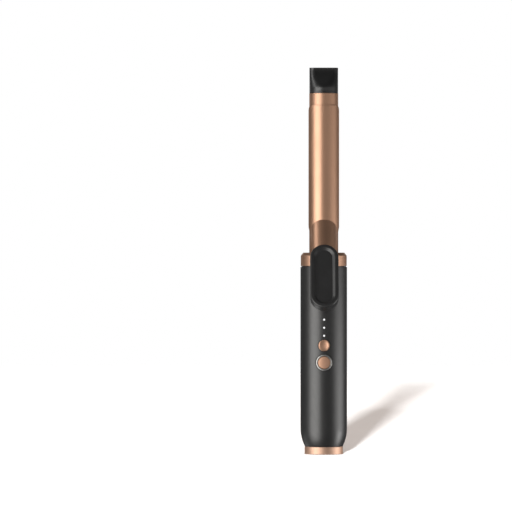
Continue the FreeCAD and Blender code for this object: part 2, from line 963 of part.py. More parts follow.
def make_hinge_frame():
    """Two cheeks that hold the hinge pin, joined by a plate that is screwed to the rear shell."""
    front, top = -11.0, dim("barrel_bottom") - "seat_ledge"
    pieces = [box("frame_plate", (-CHEEK_OUTSIDE, 7.1, 127.0), (CHEEK_OUTSIDE, FRAME_BACK, top))]
    for name, low, high in (
        ("left", -CHEEK_OUTSIDE, -CHEEK_INSIDE),
        ("right", CHEEK_INSIDE, CHEEK_OUTSIDE),
    ):
        pieces.append(box(f"frame_cheek_{name}", (low, front, 140.0), (high, 7.6, top)))
    solid = fuse("frame_solid", pieces)
    bore = dim("pin_radius") + 0.03
    start = (-15.0, "hinge_back", "hinge_height")
    holes = [cylinder("frame_pin_hole", bore, 30.0, start, SIDEWAYS)]
    for number, (side, height) in enumerate(FRAME_SCREWS, 1):
        holes.append(cylinder(f"frame_screw_hole_{number}", 1.2, 6.0, (side, 10.0, height), FORWARD))
    keep(cut("hinge_frame", solid, fuse("frame_holes", holes)), "hinge_frame")


def make_frame_screws():
    screws = []
    for number, (side, height) in enumerate(FRAME_SCREWS, 1):
        head = cylinder(f"frame_screw_head_{number}", 1.9, 1.3, (side, 7.05, height), FORWARD)
        shank = cylinder(f"frame_screw_shank_{number}", 0.95, 8.0, (side, 15.0, height), FORWARD)
        screws.append(fuse(f"frame_screw_{number}", [head, shank]))
    keep(group("frame_screws", screws), "frame_screws")


def make_pivot_pin():
    height = ("hinge_back", "hinge_height")
    shaft = cylinder("pin_shaft", "pin_radius", 24.7, (-11.7, *height), SIDEWAYS)
    head = cylinder("pin_head", 2.5, 0.9, (-12.4, *height), SIDEWAYS)
    solid = fuse("pin_solid", [shaft, head])
    groove_out = cylinder("pin_groove_out", 2.0, 0.7, (11.6, *height), SIDEWAYS)
    groove_in = cylinder("pin_groove_in", 1.15, 0.7, (11.6, *height), SIDEWAYS)
    keep(cut("pivot_pin", solid, cut("pin_groove", groove_out, groove_in)), "pivot_pin")
    clip_out = cylinder("clip_disc", 3.1, 0.5, (11.7, *height), SIDEWAYS)
    clip_in = cylinder("clip_hole", 1.2, 0.5, (11.7, *height), SIDEWAYS)
    back, up = dim("hinge_back"), dim("hinge_height")
    mouth = box("clip_mouth", (11.7, back - 1.1, up), (12.2, back + 1.1, up + 4.0))
    keep(cut("pin_clip", clip_out, fuse("clip_gap", [clip_in, mouth])), "pin_clip")


def make_torsion_spring():
    """Close-wound turns on the pin, one arm on the frame and one under the lever's leg."""
    wire, ring, turns, pitch = 0.5, 2.9, 6, 0.95
    arm = wire - 0.04
    first = -pitch * (turns - 1) / 2
    coils = []
    for turn in range(turns):
        middle = (first + turn * pitch, "hinge_back", "hinge_height")
        coils.append(torus(f"spring_turn_{turn + 1}", ring, wire, middle, SIDEWAYS))
    fixed_arm = cylinder(
        "spring_fixed_arm", arm, 13.0, (first, "hinge_back", dim("hinge_height") - ring), BACKWARD
    )
    slope = math.radians(45.9)
    direction = Vector(0, -math.cos(slope), -math.sin(slope))
    offset = Vector(0, math.sin(slope), -math.cos(slope)) * ring
    moving_arm = cylinder(
        "spring_moving_arm",
        arm,
        12.5,
        (-first, dim("hinge_back") + offset.y, dim("hinge_height") + offset.z),
        Rotation(Vector(0, 0, 1), direction),
    )
    keep(fuse("torsion_spring", coils + [fixed_arm, moving_arm]), "torsion_spring")


# Buttons and lamps


def make_power_ring():
    height = dim("power_height")
    outer = cylinder("ring_outside", "ring_outer", 6.0, (0, -16.9, height), FORWARD)
    inner = cylinder("ring_inside", "ring_inner", 6.0, (0, -16.9, height), FORWARD)
    trimmed = common("ring_trimmed", [outer, handle_skin("ring_skin", 0.3)])
    square = cut("ring_square", trimmed, inner)

    def on_face(edge):
        return edge.BoundBox.YMax < -18.5 and edge.BoundBox.XLength > read("ring_inner")

    keep(round_solid("power_ring", square, "ring_rounding", on_face), "power_ring")


def make_buttons():
    """Each button is a cap with a flange behind the wall and a stem down to its switch."""
    for name, height, radius, flange, proud in (
        ("temp", "temp_height", "temp_radius", 5.6, 0.2),
        ("power", "power_height", "power_radius", 6.2, 0.15),
    ):
        cap = cylinder(f"{name}_cap", radius, 6.0, (0, -16.5, height), FORWARD)
        rim = cylinder(f"{name}_flange", flange, 0.8, (0, "behind_wall", height), FORWARD)
        stem = cylinder(f"{name}_stem", 1.6, 1.0, (0, -15.1, height), FORWARD)
        curved = common(f"{name}_curved", [cap, handle_skin(f"{name}_skin", proud)])
        if name == "temp":
            ball = doc.addObject("Part::Sphere", "temp_dish_ball")
            bind(ball, "Radius", "dish_ball")
            face = -(dim("handle_radius") + proud)
            place(ball, (0, face - "dish_ball" + "dish_depth", height))
            curved = cut("temp_dished", curved, ball)
        keep(fuse(f"{name}_button", [curved, rim, stem]), f"{name}_button")


def make_switches():
    """A tact switch on the board behind each button, and the plunger that the button pushes."""
    front = dim("board_front")
    for name, height in (("temp", "temp_height"), ("power", "power_height")):
        middle = dim(height)
        case = box(f"{name}_switch_case", (-3.0, front - 3.5, middle - 3.0), (3.0, front, middle + 3.0))
        bore = cylinder(f"{name}_switch_bore", 1.85, 1.6, (0, front - 1.9, middle), FORWARD)
        keep(cut(f"{name}_switch", case, bore), f"{name}_switch")
        plunger = cylinder(f"{name}_plunger", 1.7, 1.6, (0, front - 2.9, middle), FORWARD)
        keep(plunger, f"{name}_plunger")


def make_lamps():
    """A chip on the board for each lamp, and one clear guide that carries their light out."""
    front = dim("board_front")
    chips = []
    pieces = [box("guide_bar", (-2.5, -17.5, 99.5), (2.5, -15.6, 118.0))]
    for number, height in enumerate(lamp_heights(), 1):
        low = (-0.8, front - 0.8, height - 0.8)
        high = (0.8, front, height + 0.8)
        chips.append(box(f"lamp_chip_{number}", low, high))
        window_back = (0, "behind_wall", height)
        window = cylinder(f"guide_window_{number}", "lamp_radius", 4.0, window_back, FORWARD)
        rod = cylinder(f"guide_rod_{number}", 1.2, 4.1, (0, front - 1.1, height), FORWARD)
        pieces.extend([window, rod])
    keep(group("led_chips", chips), "led_chips")
    keep(fuse("light_guide", pieces), "light_guide")


# Boards, cell and leads


def make_control_board():
    body = new_body("control_board")
    back = dim("board_front") + "board_thickness"
    sketch = new_sketch(body, "control_board_outline", "XZ_Plane", -back)
    half = dim("board_half_width")
    add_rectangle(sketch, -half, "board_bottom", half, "board_top")
    for side, height in BOARD_POSTS:
        add_circle(sketch, side, height, dim("post_hole_radius") + 0.2)
    pad(body, sketch, "control_board_sheet", "board_thickness")


def make_board_parts():
    back = dim("board_front") + "board_thickness"
    keep(box("controller_chip", (-3.5, back, 88.0), (3.5, back + 1.0, 95.0)), "controller_chip")
    transistors = [
        box(f"transistor_{number}", (side, back, 106.0), (side + 5.0, back + 1.4, 112.0))
        for number, side in ((1, -8.0), (2, 3.0))
    ]
    keep(group("power_transistors", transistors), "power_transistors")
    keep(box("battery_connector", (-4.0, back, 72.0), (4.0, back + 2.6, 77.0)), "battery_connector")
    screws = []
    for number, (side, height) in enumerate(BOARD_POSTS, 1):
        name = f"board_screw_{number}"
        head = cylinder(f"{name}_head", 1.8, 1.1, (side, back + 1.1, height), FORWARD)
        shank = cylinder(f"{name}_shank", 0.85, 5.5, (side, back + 0.5, height), FORWARD)
        screws.append(fuse(name, [head, shank]))
    keep(group("board_screws", screws), "board_screws")


def make_cell():
    bottom, back = dim("cell_bottom"), dim("cell_back")
    can = cylinder("cell_can", "cell_radius", dim("cell_length") - 0.8, (0, back, bottom))
    button = cylinder("cell_button", 4.0, 1.2, (0, back, bottom + "cell_length" - 1.2))
    keep(fuse("battery_cell", [can, button]), "battery_cell")
    top = bottom + "cell_length"
    tabs = [
        box("tab_bottom", (-3.0, back - 4.0, bottom - 0.2), (3.0, back + 4.0, bottom)),
        box("tab_top", (-3.0, back - 3.0, top), (3.0, back + 3.0, top + 0.2)),
    ]
    keep(group("cell_tabs", tabs), "cell_tabs")
    outside = cylinder("cradle_outside", 12.3, 76.2, (0, back, bottom - 3.0))
    room = cylinder("cradle_room", dim("cell_radius") + 0.15, 72.0, (0, back, bottom - 0.8))
    front = box("cradle_front", (-13.0, -8.0, bottom - 3.0), (13.0, back - 2.5, bottom + 73.2))
    bore = cylinder("cradle_bore", 4.2, 76.2, (0, back, bottom - 3.0))
    keep(cut("cell_cradle", outside, fuse("cradle_cuts", [room, front, bore])), "cell_cradle")


def make_charge_parts():
    body = new_body("charge_board")
    sketch = new_sketch(body, "charge_board_outline", "XZ_Plane", -9.65)
    narrow, wide = 4.6, 8.0
    bottom, step, top = 2.5, 10.0, 31.0
    add_outline(
        sketch,
        [
            (-narrow, bottom),
            (narrow, bottom),
            (narrow, step),
            (wide, step),
            (wide, top),
            (-wide, top),
            (-wide, step),
            (-narrow, step),
        ],
    )
    pad(body, sketch, "charge_board_sheet", 1.0)
    keep(box("charge_chip", (-2.5, 7.65, 17.0), (2.5, 8.65, 22.0)), "charge_chip")
    socket = new_body("usb_socket")
    outline = new_sketch(socket, "socket_outline", "XY_Plane", 0.6)
    middle = dim("port_back")
    add_rounded_rectangle(outline, -4.5, middle - 1.6, 4.5, middle + 1.6, 1.5)
    pad(socket, outline, "socket_case", 7.3)
    mouth = new_sketch(socket, "socket_mouth", "XY_Plane", 0.6)
    add_rounded_rectangle(mouth, -4.2, middle - 1.3, 4.2, middle + 1.3, 1.2)
    checked_cut(socket, pocket(socket, mouth, "socket_hollow", 6.3, backwards=True))
    tongue = new_sketch(socket, "socket_tongue", "XY_Plane", 1.4)
    add_rectangle(tongue, -3.3, middle - 0.35, 3.3, middle + 0.35)
    pad(socket, tongue, "socket_tongue_pad", 6.0)


def make_leads():
    """Insulated leads inside the handle, as straight runs joined by arcs."""
    heater = []
    for side in (-1, 1):
        heater.append(
            wire_tube(
                [
                    Vector(side * 5.0, -8.2, 114.5),
                    Vector(side * 5.0, -7.6, 122.0),
                    Vector(side * 4.6, -2.0, 130.0),
                    Vector(side * 4.3, 3.4, 138.0),
                    Vector(side * 4.3, 3.4, 156.0),
                    Vector(side * 2.6, 1.0, 170.0),
                    Vector(side * 0.9, 0.0, 182.0),
                    Vector(side * 0.9, 0.0, 196.0),
                ],
                0.6,
            )
        )
    keep(shape_feature("heater_leads", Part.makeCompound(heater)), "heater_leads")
    battery = []
    for side in (-1, 1):
        battery.append(
            wire_tube(
                [
                    Vector(side * 2.0, 3.2, 37.0),
                    Vector(side * 2.0, -2.5, 36.3),
                    Vector(side * 2.0, -7.5, 37.6),
                    Vector(side * 2.0, -7.9, 44.0),
                    Vector(side * 2.0, -7.9, 57.0),
                    Vector(side * 2.0, -7.7, 71.95),
                ],
                0.6,
            )
        )
    keep(shape_feature("battery_leads", Part.makeCompound(battery)), "battery_leads")
    charge = []
    for side in (-1, 1):
        charge.append(
            wire_tube(
                [
                    Vector(side * 5.0, 7.9, 24.0),
                    Vector(side * 5.0, 7.0, 29.0),
                    Vector(side * 5.6, -1.5, 34.0),
                    Vector(side * 6.0, -8.6, 44.0),
                    Vector(side * 6.0, -9.8, 63.95),
                ],
                0.5,
            )
        )
    keep(shape_feature("charge_leads", Part.makeCompound(charge)), "charge_leads")


def check_and_write():
    doc.recompute()
    for item in doc.Objects:
        if "Invalid" in item.State or "Error" in item.State:
            raise RuntimeError(f"{item.Name} failed: {item.State}")
    for item in sub_parts:
        if item.Shape.isNull() or not item.Shape.isValid():
            raise RuntimeError(f"{item.Label} has no valid shape")
    os.makedirs("parts", exist_ok=True)
    for item in sub_parts:
        item.Shape.exportStep(f"parts/{item.Label}.step")
        print(f"{item.Label:20s} {len(item.Shape.Solids)} solids {item.Shape.Volume:10.1f} mm3")


make_front_shell()
make_rear_shell()
make_base_ring()
make_bottom_cap()
make_collar()
make_barrel_tube()
make_barrel_seat()
make_cool_tip()
make_heater()
make_clamp_arm()
make_lever_cover()
make_lever_body()
make_lever_screws()
make_hinge_frame()
make_frame_screws()
make_pivot_pin()
make_torsion_spring()
make_power_ring()
make_buttons()
make_switches()
make_lamps()
make_control_board()
make_board_parts()
make_cell()
make_charge_parts()
make_leads()
check_and_write()
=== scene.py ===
import math

import bmesh
import bpy
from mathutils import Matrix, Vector


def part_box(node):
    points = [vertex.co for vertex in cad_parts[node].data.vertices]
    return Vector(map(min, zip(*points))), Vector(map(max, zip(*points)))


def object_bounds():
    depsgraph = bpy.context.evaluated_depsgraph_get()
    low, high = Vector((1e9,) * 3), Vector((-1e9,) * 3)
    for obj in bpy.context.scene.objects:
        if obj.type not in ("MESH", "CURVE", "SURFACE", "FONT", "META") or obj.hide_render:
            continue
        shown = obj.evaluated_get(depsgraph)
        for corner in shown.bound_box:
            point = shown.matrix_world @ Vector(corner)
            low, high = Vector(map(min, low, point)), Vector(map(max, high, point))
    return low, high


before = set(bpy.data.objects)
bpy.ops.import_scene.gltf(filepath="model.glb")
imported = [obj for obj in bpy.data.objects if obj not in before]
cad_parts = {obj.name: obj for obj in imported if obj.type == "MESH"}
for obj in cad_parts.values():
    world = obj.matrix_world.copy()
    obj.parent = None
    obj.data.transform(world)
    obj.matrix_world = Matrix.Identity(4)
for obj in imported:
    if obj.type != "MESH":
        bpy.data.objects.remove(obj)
cad_low, cad_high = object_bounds()

MM = 0.001
AXIS_Y, AXIS_Z = 1, 2
ORIGIN = (0.0, 0.0, 0.0)
HEIGHT = cad_high.z - cad_low.z

# The picture: a long lens level with the floor, and the iron right of the middle.
LENS_MM = 300.0
SENSOR_MM = 36.0
PICTURE_TO_HEIGHT = 1.3263
CENTRE_TO_HEIGHT = 0.5126
ASIDE_TO_HEIGHT = 0.1755

# The studio: compass angles are round the iron, 0 on the camera's side and 90 on its right.
WHITE = (1.0, 1.0, 1.0)
KEY_WHITE = (1.0, 0.985, 0.96)
WARM_WHITE = (1.0, 0.985, 0.97)
SOFT_WHITE = (1.0, 0.99, 0.98)
ROOM_COLOUR = (0.075, 0.075, 0.075)
FLOOR_COLOUR = (0.80, 0.80, 0.80)
FLOOR_RADIUS = 3.2
FLOOR_FADE_START = 1.5
FLOOR_FADE_END = FLOOR_RADIUS * 0.98
FLOOR_RINGS = 12
FLOOR_SIDES = 96
# Two suns light the floor alone: one low, which draws the long shadow, and one soft and overhead.
SUN_AZIMUTH = -4.5
SUN_ELEVATION = 9.0
SUN_STRENGTH = 17.0
SUN_ANGLE = 1.8
SKY_STRENGTH = 1.95
SKY_ELEVATION = 89.0
SKY_ANGLE = 100.0
SKY_COLOUR = (1.0, 0.88, 0.81)

# name: azimuth in degrees, then distance, bottom, top and width in metres, radiance, colour
PANELS = {
    "key_panel": (-47.0, 1.2, -0.80, 0.60, 1.13, 2.6, KEY_WHITE),
    "right_panel": (80.0, 0.42, -0.06, 0.12, 0.44, 1.35, WARM_WHITE),
    "barrel_panel": (48.0, 0.5, 0.175, 0.42, 1.3, 0.37, WARM_WHITE),
    "barrel_back_panel": (180.0, 0.5, 0.20, 0.45, 1.2, 0.30, WARM_WHITE),
    "side_panel": (86.0, 1.3, -0.90, -0.12, 0.60, 4.2, WARM_WHITE),
    "back_panel": (212.0, 1.3, -1.30, -0.50, 0.80, 0.9, SOFT_WHITE),
    "back_left_panel": (-118.0, 1.3, -1.00, -0.22, 0.50, 0.5, SOFT_WHITE),
    "lever_panel": (-85.0, 0.9, 0.50, 0.90, 0.40, 2.0, SOFT_WHITE),
}
TOP_PANEL_PLACE = (0.0, -0.01, 1.5)
TOP_PANEL_SIZE = 1.2
TOP_PANEL_RADIANCE = 0.05


# ---------------------------------------------------------------- materials


# A facet within five degrees of a round wall's own normal counts as part of that wall.
ALMOST_ALONG = math.cos(math.radians(5.0))
# The middle range of a noise texture, which holds most of its values.
NOISE_LOW, NOISE_HIGH = 0.3, 0.7
# The barrel and the clamp are shaded as if their edges had this radius.
EDGE_RADIUS = 0.4 * MM
EDGE_SAMPLES = 8
# How strongly the ends of the light guide glow.
WINDOW_GLOW = 0.62


class Finish:
    """A node material being built: one Principled shader, and the textures wired into it.
    Texture scales are repeats per metre, because the coordinates are the object's own, in metres."""

    def __init__(self, name, roughness, metallic=0.0, **sockets):
        self.material = bpy.data.materials.new(name)
        self.material.use_nodes = True
        self.tree = self.material.node_tree
        self.shader = self.tree.nodes["Principled BSDF"]
        self.set(Roughness=roughness, Metallic=metallic, **sockets)
        self.place = self.node("ShaderNodeTexCoord").outputs["Object"]
        self.normal = None

    def set(self, **sockets):
        for socket, value in sockets.items():
            self.shader.inputs[socket.replace("_", " ")].default_value = value

    def node(self, kind, **settings):
        made = self.tree.nodes.new(kind)
        for key, value in settings.items():
            setattr(made, key, value)
        return made

    def link(self, output, socket):
        self.tree.links.new(output, socket)

    def maths(self, operation, first, second=None):
        made = self.node("ShaderNodeMath", operation=operation)
        for socket, value in zip(made.inputs, (first, second)):
            if value is None:
                continue
            if isinstance(value, (int, float)):
                socket.default_value = value
            else:
                self.link(value, socket)
        return made.outputs[0]

    def stretched(self, stretch):
        made = self.node("ShaderNodeMapping")
        self.link(self.place, made.inputs["Vector"])
        made.inputs["Scale"].default_value = stretch
        return made.outputs[0]

    def noise(self, scale, detail=3.0, stretch=None):
        made = self.node("ShaderNodeTexNoise")
        made.inputs["Scale"].default_value = scale
        made.inputs["Detail"].default_value = detail
        source = self.stretched(stretch) if stretch else self.place
        self.link(source, made.inputs["Vector"])
        return made.outputs["Fac"]

    def cells(self, scale):
        made = self.node("ShaderNodeTexVoronoi", feature="SMOOTH_F1")
        made.inputs["Scale"].default_value = scale
        self.link(self.place, made.inputs["Vector"])
        return made.outputs["Distance"]

    def turned(self, centre, axis, scale, detail=2.0):
        """Fine lathe lines round an axis through centre, set by radius plus height alone."""
        offset = self.node("ShaderNodeVectorMath", operation="SUBTRACT")
        self.link(self.place, offset.inputs[0])
        offset.inputs[1].default_value = centre
        parts = self.node("ShaderNodeSeparateXYZ")
        self.link(offset.outputs[0], parts.inputs[0])
        across = [parts.outputs[i] for i in range(3) if i != axis]
        squares = [self.maths("MULTIPLY", one, one) for one in across]
        radius = self.maths("SQRT", self.maths("ADD", *squares))
        line = self.maths("ADD", radius, parts.outputs[axis])
        made = self.node("ShaderNodeTexNoise", noise_dimensions="1D")
        made.inputs["Scale"].default_value = scale
        made.inputs["Detail"].default_value = detail
        self.link(line, made.inputs["W"])
        return made.outputs["Fac"]

    def true_round(self, low, high):
        """Between two heights, the exact normal of a round wall about Z.
        It stands in for the normal of the mesh's facets where the two nearly agree."""
        parts = self.node("ShaderNodeSeparateXYZ")
        self.link(self.place, parts.inputs[0])
        outward = self.node("ShaderNodeCombineXYZ")
        self.link(parts.outputs[0], outward.inputs[0])
        self.link(parts.outputs[1], outward.inputs[1])
        turned = self.node(
            "ShaderNodeVectorTransform", vector_type="NORMAL", convert_from="OBJECT", convert_to="WORLD"
        )
        self.link(outward.outputs[0], turned.inputs[0])
        facets = self.node("ShaderNodeNewGeometry").outputs["Normal"]
        agree = self.node("ShaderNodeVectorMath", operation="DOT_PRODUCT")
        self.link(turned.outputs[0], agree.inputs[0])
        self.link(facets, agree.inputs[1])
        on_wall = self.maths("GREATER_THAN", agree.outputs["Value"], ALMOST_ALONG)
        above = self.maths("GREATER_THAN", parts.outputs[2], low)
        below = self.maths("LESS_THAN", parts.outputs[2], high)
        chosen = self.maths("MULTIPLY", on_wall, self.maths("MULTIPLY", above, below))
        mix = self.node("ShaderNodeMix", data_type="VECTOR")
        self.link(chosen, mix.inputs["Factor"])
        vectors = [one for one in mix.inputs if one.type == "VECTOR" and one.enabled]
        self.link(facets, vectors[-2])
        self.link(turned.outputs[0], vectors[-1])
        self.normal = [one for one in mix.outputs if one.enabled][0]

    def soft_edges(self, radius):
        """Shades every edge as if it were rounded to this radius."""
        made = self.node("ShaderNodeBevel", samples=EDGE_SAMPLES)
        made.inputs["Radius"].default_value = radius
        self.normal = made.outputs["Normal"]

    def spread(self, factor, low, high):
        """The factor's middle range stretched to run from low to high."""
        made = self.node("ShaderNodeMapRange")
        self.link(factor, made.inputs["Value"])
        made.inputs["From Min"].default_value = NOISE_LOW
        made.inputs["From Max"].default_value = NOISE_HIGH
        made.inputs["To Min"].default_value = low
        made.inputs["To Max"].default_value = high
        return made.outputs["Result"]

    def colour(self, factor, first, second):
        """A base colour that runs from the first to the second over the factor's middle range."""
        made = self.node("ShaderNodeMix", data_type="RGBA")
        self.link(self.spread(factor, 0.0, 1.0), made.inputs["Factor"])
        colours = [one for one in made.inputs if one.type == "RGBA"]
        colours[0].default_value = (*first, 1.0)
        colours[1].default_value = (*second, 1.0)
        result = [one for one in made.outputs if one.type == "RGBA"][0]
        self.link(result, self.shader.inputs["Base Color"])
        return result

    def roughen(self, factor, low, high):
        self.link(self.spread(factor, low, high), self.shader.inputs["Roughness"])

    def bump(self, height, depth):
        """One layer of relief, depth metres high, on top of the layers before it."""
        made = self.node("ShaderNodeBump")
        made.inputs["Distance"].default_value = depth
        self.link(height, made.inputs["Height"])
        if self.normal:
            self.link(self.normal, made.inputs["Normal"])
        self.normal = made.outputs["Normal"]
        self.link(self.normal, self.shader.inputs["Normal"])


def tint(colour, amount):
    return tuple(channel * amount for channel in colour)


def moulded_plastic(
    name, colour, gloss, grain, grain_depth, mottle=0.12, level=0.5, wall=None, **sockets
):
    """Injection-moulded plastic: a spark-eroded grain, faint flow mottling and uneven gloss."""
    made = Finish(name, gloss, Specular_IOR_Level=level, **sockets)
    if wall:
        made.true_round(*wall)
    flow = made.noise(90.0, 5.0)
    made.colour(flow, tint(colour, 1.0 - mottle), tint(colour, 1.0 + mottle))
    unevenness = made.noise(420.0, 4.0)
    made.roughen(unevenness, gloss - 0.03, gloss + 0.03)
    made.bump(made.noise(grain, 3.0), grain_depth)
    made.bump(made.noise(grain / 9.0, 2.0), grain_depth * 0.8)
    return made.material


def plated_metal(name, colour, gloss, centre, axis, pitch, depth):
    """Turned and plated metal: fine lathe lines, with a slow drift in the plating."""
    made = Finish(name, gloss, 1.0)
    drift = made.noise(130.0, 4.0)
    made.colour(drift, tint(colour, 0.955), tint(colour, 1.03))
    lines = made.turned(centre, axis, 1.0 / pitch)
    made.roughen(lines, gloss - 0.05, gloss + 0.05)
    made.bump(lines, depth)
    made.bump(made.noise(2600.0, 2.0), depth * 0.3)
    return made.material


def coated_barrel(name, colour, gloss, pearl):
    """Ceramic coating on a ground tube: a soft sheen, pearl flakes and faint grinding lines."""
    made = Finish(name, gloss, 1.0, Coat_Weight=0.12, Coat_Roughness=0.22)
    made.soft_edges(EDGE_RADIUS)
    flakes = made.cells(5200.0)
    made.colour(flakes, tint(colour, 1.0 - pearl), tint(colour, 1.0 + pearl))
    cloud = made.noise(60.0, 5.0)
    made.roughen(cloud, gloss - 0.02, gloss + 0.02)
    made.bump(made.turned(ORIGIN, AXIS_Z, 4200.0, 3.0), 2.5e-6)
    made.bump(made.noise(3200.0, 3.0), 2.0e-6)
    return made.material


def bare_metal(name, colour, gloss, stretch, scale):
    """Drawn or stamped metal: brushed streaks along one direction."""
    made = Finish(name, gloss, 1.0)
    streaks = made.noise(scale, 6.0, stretch)
    made.colour(streaks, tint(colour, 0.9), tint(colour, 1.06))
    made.roughen(streaks, gloss - 0.07, gloss + 0.07)
    made.bump(streaks, 4.0e-6)
    return made.material


def soft_skin(name, colour, gloss, scale):
    """Lead insulation, film or a wrapper: smooth, with a slight unevenness."""
    made = Finish(name, gloss)
    made.colour(made.noise(scale, 3.0), tint(colour, 0.88), tint(colour, 1.08))
    made.roughen(made.noise(scale * 3.0, 3.0), gloss - 0.05, gloss + 0.08)
    made.bump(made.noise(scale * 2.0, 2.0), 2.0e-5)
    return made.material


def lamp_window(name):
    """The milky end of a light guide, lit from behind."""
    made = Finish(name, 0.28, IOR=1.49)
    cloud = made.noise(1500.0, 3.0)
    white = made.colour(cloud, (0.93, 0.95, 0.96), (1.0, 1.0, 1.0))
    made.link(white, made.shader.inputs["Emission Color"])
    made.set(Emission_Strength=WINDOW_GLOW)
    made.bump(cloud, 1.0e-5)
    return made.material


def circuit_board(name):
    """Solder mask over copper: tracks show as a slightly raised, lighter net."""
    made = Finish(name, 0.34)
    tracks = made.node("ShaderNodeTexBrick")
    tracks.inputs["Scale"].default_value = 260.0
    tracks.inputs["Mortar Size"].default_value = 0.03
    made.link(made.place, tracks.inputs["Vector"])
    made.colour(tracks.outputs["Fac"], (0.012, 0.085, 0.040), (0.020, 0.150, 0.065))
    made.roughen(made.noise(900.0, 3.0), 0.28, 0.40)
    made.bump(tracks.outputs["Fac"], 3.0e-5)
    return made.material


# The straight part of the handle, between its rounded foot and the shadow line under the collar.
HANDLE_WALL = (24.0 * MM, 161.0 * MM)
ROSE = (0.72, 0.435, 0.300)
# The base ring's rose gold is painted lighter than the rest: a painted brightening that stands in for
# light on the ring.
FOOT_ROSE_PAINTED_LIGHTER = (0.88, 0.585, 0.435)
BARREL_ROSE = (0.74, 0.435, 0.288)
CHARCOAL = (0.0135, 0.0135, 0.0137)


def middle(name):
    low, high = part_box(name)
    return (low + high) / 2.0


temp_centre = middle("temp_button")
power_centre = middle("power_button")

finishes = {
    "handle_plastic": moulded_plastic(
        "handle_plastic", CHARCOAL, 0.40, 5200.0, 6.0e-6, level=1.0, wall=HANDLE_WALL, IOR=1.58
    ),
    "cap_plastic": moulded_plastic("cap_plastic", (0.016, 0.016, 0.0165), 0.50, 3600.0, 1.2e-5),
    "tip_plastic": moulded_plastic(
        "tip_plastic", (0.008, 0.008, 0.0083), 0.36, 900.0, 3.0e-6, level=0.8, IOR=1.62
    ),
    "lever_plastic": moulded_plastic(
        "lever_plastic", (0.032, 0.032, 0.0324), 0.36, 5200.0, 6.0e-6, level=0.8
    ),
    "heat_plastic": moulded_plastic("heat_plastic", (0.60, 0.56, 0.48), 0.52, 2600.0, 1.5e-5),
    "connector_white": moulded_plastic(
        "connector_white", (0.72, 0.71, 0.67), 0.38, 3000.0, 1.0e-5
    ),
    "chip_black": moulded_plastic("chip_black", (0.020, 0.020, 0.021), 0.55, 4200.0, 1.4e-5),
    "silver_ring": plated_metal(
        "silver_ring", (0.52, 0.51, 0.49), 0.42, power_centre, AXIS_Y, 0.16 * MM, 4.0e-6
    ),
    "rose_gold": plated_metal("rose_gold", ROSE, 0.30, ORIGIN, AXIS_Z, 0.30 * MM, 6.0e-6),
    "rose_gold_barrel": coated_barrel("rose_gold_barrel", BARREL_ROSE, 0.42, 0.025),
    "lamp_clear": lamp_window("lamp_clear"),
    "lamp_chip": soft_skin("lamp_chip", (0.80, 0.74, 0.42), 0.40, 2500.0),
    "bare_aluminium": bare_metal("bare_aluminium", (0.80, 0.80, 0.81), 0.38, (1, 1, 0.05), 3000.0),
    "nickel": bare_metal("nickel", (0.66, 0.63, 0.57), 0.28, (1, 1, 0.2), 2200.0),
    "steel": plated_metal("steel", (0.56, 0.56, 0.57), 0.30, ORIGIN, AXIS_Z, 0.2 * MM, 6.0e-6),
    "spring_steel": bare_metal("spring_steel", (0.42, 0.42, 0.43), 0.30, (0.2, 1, 1), 2600.0),
    "ceramic_grey": soft_skin("ceramic_grey", (0.55, 0.55, 0.53), 0.62, 1800.0),
    "film_amber": soft_skin("film_amber", (0.52, 0.24, 0.035), 0.18, 700.0),
    "board_green": circuit_board("board_green"),
    "cell_wrap": soft_skin("cell_wrap", (0.030, 0.130, 0.360), 0.24, 300.0),
    "lead_white": soft_skin("lead_white", (0.78, 0.77, 0.73), 0.45, 900.0),
    "lead_red": soft_skin("lead_red", (0.55, 0.022, 0.018), 0.40, 900.0),
    "lead_black": soft_skin("lead_black", (0.018, 0.018, 0.019), 0.42, 900.0),
}

# A button is turned about its own axis, so its lines are circles on its face.
node_finishes = {
    # The base ring takes the lighter rose gold, a painted brightening in place of light.
    "base_ring": plated_metal(
        "rose_gold_base", FOOT_ROSE_PAINTED_LIGHTER, 0.55, ORIGIN, AXIS_Z, 0.30 * MM, 6.0e-6
    ),
    "collar": plated_metal("rose_gold_collar", ROSE, 0.46, ORIGIN, AXIS_Z, 0.30 * MM, 5.0e-6),
    "temp_button": plated_metal(
        "rose_gold_temp", tint(ROSE, 1.12), 0.50, temp_centre, AXIS_Y, 0.20 * MM, 3.0e-6
    ),
    "power_button": plated_metal(
        "rose_gold_power", tint(ROSE, 1.1), 0.55, power_centre, AXIS_Y, 0.20 * MM, 3.0e-6
    ),
}

# A CAD node's own material is named after its slot in the record.
for name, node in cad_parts.items():
    for held in node.material_slots:
        slot = held.material.name.split(".")[0]
        held.material = node_finishes.get(name) or finishes[slot]


# ---------------------------------------------------------------- studio


def floor_disc():
    """A wide flat disc, made in rings, at the height that the iron stands on."""
    mesh = bpy.data.meshes.new("floor")
    made = bmesh.new()
    rings = []
    for step in range(1, FLOOR_RINGS + 1):
        radius = FLOOR_RADIUS * step / FLOOR_RINGS
        ring = []
        for side in range(FLOOR_SIDES):
            turn = math.tau * side / FLOOR_SIDES
            ring.append(made.verts.new((radius * math.cos(turn), radius * math.sin(turn), 0.0)))
        rings.append(ring)
    made.faces.new(rings[0])
    for inner, outer in zip(rings, rings[1:]):
        for side in range(FLOOR_SIDES):
            after = (side + 1) % FLOOR_SIDES
            made.faces.new((inner[side], outer[side], outer[after], inner[after]))
    made.to_mesh(mesh)
    made.free()
    floor = bpy.data.objects.new("floor", mesh)
    bpy.context.scene.collection.objects.link(floor)
    floor.location.z = cad_low.z
    return floor


